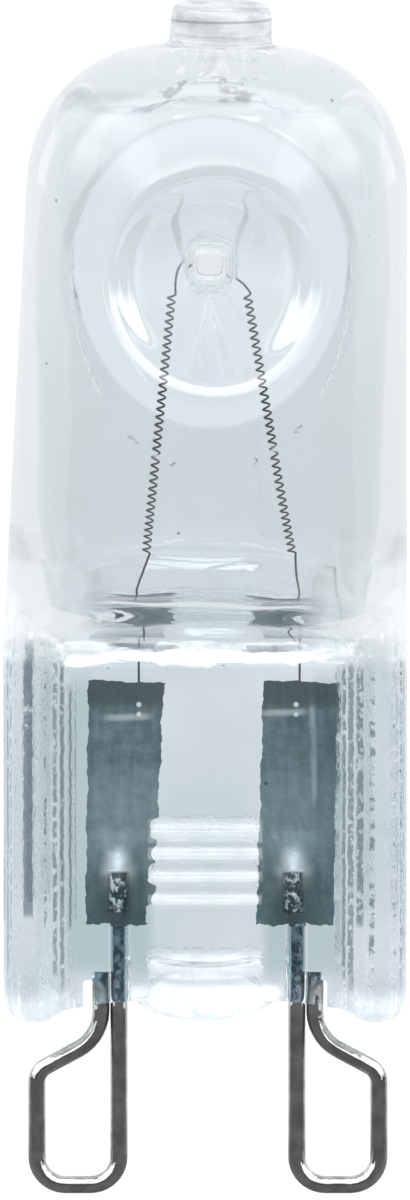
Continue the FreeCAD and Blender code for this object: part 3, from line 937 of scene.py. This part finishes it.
def glass_tint(f, spot, x, y, z, pressed, marks):
    """The colour that light takes on in the glass: paler towards the dome as painted light, slate in the seal with
    painted shade beside and under the foils, dark in its faults.
    """
    mottle = f.noise(spot, 0.22, 2.0, 0.5)
    # Painted light: the blown bulb's tint grows paler towards the dome, as if lit from above
    blown = f.blend(z.rises(17.0, 30.0), (0.80, 0.84, 0.857, 1), (0.885, 0.92, 0.94, 1))
    blown = f.blend(mottle.rises(0.35, 0.7) * 0.5, blown, (0.84, 0.875, 0.905, 1))
    seal = f.blend(mottle.rises(0.35, 0.65), (0.62, 0.72, 0.76, 1), (0.75, 0.805, 0.86, 1))
    # Painted shade: the seal's glass is darker beside the foils' outer edges and below their feet
    shade_beside_foils = abs(x + 0.1).between(4.0, 4.75, 0.35) * z.between(2.0, 10.5, 1.4)
    shade_under_foils = abs(x - CONTACTS_X).between(2.2, 4.6, 0.5) * z.between(1.3, 3.4, 0.7)
    seal = f.blend(shade_beside_foils.most(shade_under_foils) * 0.65, seal, (0.40, 0.53, 0.57, 1))
    tint = f.blend(pressed, blown, seal)
    tint = f.blend(marks * pressed, tint, (0.12, 0.17, 0.20, 1))

    # The sealed tip is swirled, with a dark line on its front rim
    swirl = f.noise(spot, 0.9, 3.0, 0.5, (1.0, 1.0, 2.2)).rises(0.42, 0.60)
    tint = f.blend(z.rises(33.0, 33.5) * swirl * 0.6, tint, (0.40, 0.43, 0.45, 1))
    rim = z.between(34.0, 34.04, 0.05) * (0.1 - y).rises(0.0, 0.3)
    tint = f.blend(rim * 0.75, tint, (0.16, 0.18, 0.19, 1))

    # The ceiling's rounded corner, darkened as painted shade, and the drops of glass beside the exhaust bore
    from_axis = (x * x + y * y).root()
    corner = z.between(31.0, 31.75, 0.2) * from_axis.falls(4.9, 5.1) * from_axis.rises(3.0, 3.8)
    tint = f.blend(corner * (swirl * 0.15 + 0.30), tint, (0.42, 0.46, 0.48, 1))
    beside_bore = z.between(31.7, 32.3, 0.1) * abs(x - 0.1).between(0.5, 1.6, 0.2)
    drops = beside_bore * f.noise(spot, 1.3, 3.0, 0.6).rises(0.5, 0.58)
    tint = f.blend(drops * 0.8, tint, (0.20, 0.22, 0.23, 1))

    # The rounded ends of the rails, and scattered grains
    rail_ends = z.falls(0.2, 1.6) * abs(x).rises(4.3, 4.9)
    tint = f.blend(rail_ends * 0.6, tint, (0.56, 0.63, 0.67, 1))
    cells = f.node("ShaderNodeTexVoronoi", {"feature": "F1"}, {"Vector": spot, "Scale": 0.42, "Randomness": 1.0})
    grains = cells.falls(0.022, 0.034) * abs(y).rises(1.0, 1.3)
    return f.blend(grains, tint, (0.12, 0.13, 0.14, 1))


def painted_highlight_milk(f, spot, x, y, z):
    """Where painted highlights lie on the glass as milky white: at the bulb's foot, on the ribs, the bead, the rails'
    ends and the shoulder's caps.
    """
    drift = z + (f.noise(spot, 0.45, 3.0, 0.55) - 0.5) * 1.3
    foot = drift.between(12.05, 12.40, 0.16) * abs(x - CONTACTS_X).falls(4.6, 5.2)
    crests = [(TOP_RIB - RIB_STEP * i, half) for i, half in enumerate((0.36, 0.16, 0.12, 0.12))] + [(LOW_BAR, 0.40)]
    ribs = strongest([z.between(height - half, height + half, 0.10) for height, half in crests])
    ribs = ribs * abs(x).falls(1.92, 2.02) * abs(y).rises(1.22, 1.34)
    bead = z.falls(0.35, 0.85) * abs(x).falls(2.4, 2.7)
    rail_ends = z.falls(0.0, 0.9) * abs(x).rises(4.6, 5.2)
    caps = z.between(12.4, 14.2, 0.5) * abs(x).rises(6.0, 6.6)
    cloud = f.noise(spot, 1.4, 3.0, 0.55).rises(0.25, 0.6)
    return strongest([foot * 0.7, ribs * 0.12, bead * 0.35, rail_ends * 0.15, caps * 0.3]) * (cloud * 0.6 + 0.4)


def thin_glass(f, x, y, z):
    """Where the glass is too thin to bend light, round the dents and at the shoulder's sides, and its shader."""
    across, up = (x - 0.20) * 1.15, z - POST.z
    from_post = (across * across + up * up).root()
    lowered = up.most(up * 0.85)
    reach = (across * across + lowered * lowered).root()
    off_middle = abs(y).rises(0.75, 1.3) * abs(y).rises(1.2, 1.6).most(from_post.rises(0.9, 1.2))
    where = reach.falls(5.42, 5.62) * off_middle
    where = where.most(z.between(12.5, 15.2, 0.7) * abs(x).rises(2.8, 4.4) * 0.75)

    clear = f.node("ShaderNodeBsdfTransparent", None, {"Color": (0.905, 0.926, 0.937, 1)})
    # Painted shade: the upper half round each dent lets through a greyer colour
    shaded = f.node("ShaderNodeBsdfTransparent", None, {"Color": (0.880, 0.898, 0.909, 1)})
    through = f.mix(z.rises(25.2, 26.6) * from_post.between(1.9, 3.3, 0.8), clear, shaded)
    gleam = f.node("ShaderNodeBsdfGlossy", None, {"Color": (1, 1, 1, 1), "Roughness": 0.04})
    outer_side = 1 - f.node("ShaderNodeNewGeometry", out="Backfacing")
    first_met = f.ray("Transparent Depth").falls(0.4, 0.9)
    fresnel = f.node("ShaderNodeFresnel", None, {"IOR": GLASS_IOR})
    lip = 2.6 - from_post.rises(3.7, 4.5) * 1.7
    gloss = (fresnel * (outer_side * first_met) * lip).least(1.0)
    return where, f.mix(gloss, through, gleam)


def quartz():
    """Clear blown and pressed glass, a little blue-grey in its thickness, with painted highlights laid on as milky
    white glass.
    """
    f = new_finish("clear_quartz")
    spot, (x, y, z) = f.place()
    pressed = z.falls(11.9, 12.9)
    marks = press_marks(f, spot, x, z)
    grain = f.noise(spot, 5.0, 4.0, 0.6, (1.0, 1.0, 0.6)) * (abs(x).between(4.6, 6.3, 0.2) * pressed)
    glass = f.principled({
        "Base Color": glass_tint(f, spot, x, y, z, pressed, marks),
        "Roughness": 0.0,
        "IOR": GLASS_IOR,
        "Transmission Weight": 1.0,
        "Normal": f.bump(grain * 0.05 + marks * 0.05),
    })
    # Painted highlights: an opaque white layer mixed into the glass where the highlights fall
    highlight_white = f.principled({"Base Color": (0.93, 0.95, 0.96, 1), "Roughness": 0.25})
    glass = f.mix(painted_highlight_milk(f, spot, x, y, z), glass, highlight_white)
    where, thin = thin_glass(f, x, y, z)
    glass = f.mix(where, glass, thin)

    # Rays that are caught in the glass end in a painted glow: pale light that the glass emits in place of the
    # surroundings
    caught = f.ray("Glossy Depth").rises(2.5, 3.5).most(f.ray("Transmission Depth").rises(9.5, 10.5))
    caught_ray_glow = f.node("ShaderNodeEmission", None, {"Color": (0.80, 0.85, 0.87, 1), "Strength": 1.0})
    f.give(f.mix(caught, glass, caught_ray_glow))
    return f


def bare_wire():
    """Drawn metal of the outer wires: bright outside the glass, slate and mottled inside it."""
    f = new_finish("drawn_contact_wire")
    spot, (x, _, z) = f.place()
    streaks = f.noise(spot, 1.6, 2.0, 0.5)
    bright = f.blend(streaks.rises(0.3, 0.7), (0.40, 0.385, 0.37, 1), (0.60, 0.585, 0.57, 1))
    mottle = f.noise(spot, 3.4, 4.0, 0.6)
    dark = f.blend(mottle.rises(0.42, 0.62), (0.045, 0.07, 0.085, 1), (0.38, 0.45, 0.48, 1))
    cut_end = abs(x - CONTACTS_X).rises(3.36, 3.42) * z.falls(0.25, 0.75)
    dark = f.blend(cut_end * 0.8, dark, (0.50, 0.47, 0.43, 1))
    sealed = z.rises(-0.05, 0.15)
    drawn = f.noise(spot, 2.4, 2.0) * (1 - sealed)
    f.give(f.principled({
        "Base Color": f.blend(sealed, bright, dark),
        "Metallic": 1.0,
        "Roughness": streaks * 0.04 + 0.05 + sealed * 0.25,
        "Normal": f.bump(mottle * sealed * 0.12 + drawn * 0.02),
    }))
    return f


def rolled_foil(side):
    """Thin dull foil, darker at its top, with painted highlights where it tents over the end of the wire and where the
    filament's tail is fixed.
    """
    f = new_finish("rolled_foil_left" if side < 0 else "rolled_foil_right")
    spot, (x, _, z) = f.place()
    middle = weld_x(side)
    fine = f.noise(spot, 2.2, 5.0, 0.65)
    grain = f.noise(spot, 3.0, 3.0, 0.5, (1.0, 1.0, 0.12))
    colour = f.blend((fine * 0.6 + grain * 0.4).rises(0.35, 0.65), (0.118, 0.174, 0.190, 1), (0.222, 0.286, 0.301, 1))
    if side > 0:
        # Painted highlight: a pale line along a crease in the right foil
        from_crease = abs(x - 3.75 + (z - 8.6) * 0.03)
        crease_highlight = from_crease.falls(0.02, 0.16) * z.between(7.2, 10.1, 0.7) * grain.rises(0.3, 0.55)
        colour = f.blend(crease_highlight * 0.5, colour, (0.62, 0.70, 0.73, 1))
    colour = f.blend(z.between(5.6, 7.2, 1.4) * 0.25, colour, (0.48, 0.56, 0.58, 1))
    colour = f.blend(z.rises(10.05, 10.45) * 0.75, colour, (0.09, 0.115, 0.13, 1))

    # Painted highlights: a band and two dots where the filament's tail is fixed, and the tent over the wire's end
    band_highlight = (z - x * 0.03).between(9.93, 9.99, 0.14) * abs(x - (middle - side * 0.35)).falls(0.5, 1.0)
    dot_highlights = []
    for dot_z in (9.98, 10.32):
        dx, dz = x - TAIL_DOTS_X[side], z - dot_z
        dot_highlights.append((dx * dx + dz * dz).root().falls(0.05, 0.12))
    from_weld = abs(x - middle)
    over = z - WELD_Z[1]
    tent_highlight = (from_weld + over.most(0.0) * 0.25).falls(0.10, 0.80) * over.between(0.0, 0.40, 0.75)
    painted_highlights = strongest([band_highlight * 0.4, strongest(dot_highlights) * 0.9, tent_highlight * (0.9 if side < 0 else 0.8)])
    colour = f.blend(painted_highlights, colour, (0.92, 0.97, 0.98, 1))

    # The weld: dark and bright knobs, in a dark ring
    weld = from_weld.falls(0.22, 0.42) * z.between(WELD_Z[0], WELD_Z[1], 0.12)
    knobs = f.noise(spot, 4.2, 3.0, 0.6)
    lumps = f.blend(knobs.rises(0.48, 0.62), (0.03, 0.045, 0.05, 1), (0.75, 0.82, 0.85, 1))
    colour = f.blend(weld * 0.9, colour, lumps)
    around = from_weld.falls(0.4, 1.5) * z.between(2.6, 4.2, 0.4) * (1 - weld)
    colour = f.blend(around * 0.65, colour, (0.07, 0.10, 0.11, 1))
    f.give(f.principled({
        "Base Color": colour,
        "Metallic": 0.75,
        "Roughness": fine * 0.2 + 0.32,
        "Normal": f.bump(fine * 0.03 + knobs * weld * 0.15),
    }))
    return f


def filament_metal():
    """Dark grey coiled wire."""
    f = new_finish("coiled_wire_metal")
    spot, _ = f.place()
    grain = f.noise(spot, 6.0, 2.0)
    colour = f.blend(grain, (0.085, 0.085, 0.09, 1), (0.19, 0.19, 0.20, 1))
    f.give(f.principled({"Base Color": colour, "Metallic": 1.0, "Roughness": grain * 0.15 + 0.3}))
    return f


# ---------------------------------------------------------------- studio


def camera():
    """The photograph's view: from the front, a little above level."""
    data = bpy.data.cameras.new("camera")
    shot = bpy.data.objects.new("camera", data)
    bpy.context.scene.collection.objects.link(shot)
    target = Vector((0.0, 0.0, 0.01390))
    rise = math.radians(7.0)
    distance, framed_height = 0.60, 0.04138
    shot.location = target + Vector((0.0, -math.cos(rise), math.sin(rise))) * distance
    shot.rotation_euler = (target - shot.location).to_track_quat("-Z", "Y").to_euler()
    data.sensor_fit = "VERTICAL"
    data.sensor_height = 36.0
    data.lens = data.sensor_height * distance / framed_height
    data.clip_start = 0.01
    data.clip_end = 20.0
    bpy.context.scene.camera = shot


def softbox(name, place, target, width, depth, power):
    """A soft lamp that no glossy surface mirrors as a rectangle."""
    data = bpy.data.lights.new(name, "AREA")
    data.shape = "RECTANGLE"
    data.size, data.size_y = width, depth
    data.energy = power
    lamp = bpy.data.objects.new(name, data)
    bpy.context.scene.collection.objects.link(lamp)
    lamp.location = place
    lamp.rotation_euler = (Vector(target) - Vector(place)).to_track_quat("-Z", "Y").to_euler()
    lamp.visible_glossy = False


def seen_rays(f):
    """1 for the rays that see the background: straight from the camera, or on their way through glass."""
    inside = f.ray("Transmission Depth").rises(0.4, 0.9)
    return strongest([f.ray("Is Camera Ray"), f.ray("Is Transmission Ray"), f.ray("Is Glossy Ray") * inside])


def surroundings():
    """The world: white behind the glass, and for the light a dark front, a bright back and sides, and a skylight."""
    world = bpy.data.worlds.new("studio")
    bpy.context.scene.world = world
    world.use_nodes = True
    f = Finish(world)
    x, y, z = f.split(f.node("ShaderNodeTexCoord", out="Generated"))
    back = y.rises(0.05, 0.45).most(abs(x).between(0.66, 0.80, 0.07) * 1.6)
    skylight = z.rises(0.02, 0.35) * y.between(-0.82, 0.10, 0.20)
    level = back * 0.93 + 0.07 + skylight * 3.2
    around = f.node("ShaderNodeBackground", None, {"Color": (0.97, 0.98, 1.0, 1), "Strength": level})
    sparkle = f.ray("Is Glossy Ray") * skylight * 1.2 + 1
    white = f.node("ShaderNodeBackground", None, {"Color": (1, 1, 1, 1), "Strength": sparkle})
    f.give(f.mix(seen_rays(f), around, white))


def pale_floor():
    """The floor under the loops: white where it is seen, dark where the front of the metal mirrors it."""
    bpy.ops.mesh.primitive_plane_add(size=1.6, location=(0, 0, cad_box[0][2] - 0.0001))
    floor = bpy.context.object
    floor.name = "floor"
    bpy.ops.object.transform_apply(location=True, rotation=True, scale=True)
    f = new_finish("pale_floor")
    paper = f.node("ShaderNodeBsdfDiffuse", None, {"Color": (0.9, 0.9, 0.9, 1)})
    shaded = f.node("ShaderNodeBsdfDiffuse", None, {"Color": (0.07, 0.07, 0.07, 1)})
    glow = f.node("ShaderNodeEmission", None, {"Color": (1, 1, 1, 1), "Strength": 1.0})
    mirrored = f.ray("Is Glossy Ray")
    _, (_, y, _) = f.place()
    behind = y.rises(-5.0, 20.0)
    lit = seen_rays(f).most(mirrored * behind)
    f.give(f.mix(lit * 0.93, f.mix(mirrored, paper, shaded), glow))
    dress(floor, f)
    put_down()


# ---------------------------------------------------------------- the bulb

bpy.context.scene.view_settings.view_transform = "Standard"
put_down()
camera()
surroundings()
pale_floor()
softbox("overhead_box", place=(0.0, -0.34, 0.52), target=(0, 0, 0.014), width=0.50, depth=0.26, power=2.4)

glass = glass_envelope()
hand_in(glass, "clear_glass", "quartz_envelope")
dress(glass, quartz())

wire_finish = bare_wire()
for side, node in ((-1, "contact_loop_left"), (1, "contact_loop_right")):
    wire = contact_loop(side)
    hand_in(wire, "contact_wire", node)
    dress(wire, wire_finish)

coil = whole_filament()
hand_in(coil, "filament_metal", "filament", angle=60)
dress(coil, filament_metal())

for side, node in ((-1, "seal_foil_left"), (1, "seal_foil_right")):
    foil = seal_foil(side)
    hand_in(foil, "foil_metal", node, angle=60)
    dress(foil, rolled_foil(side))
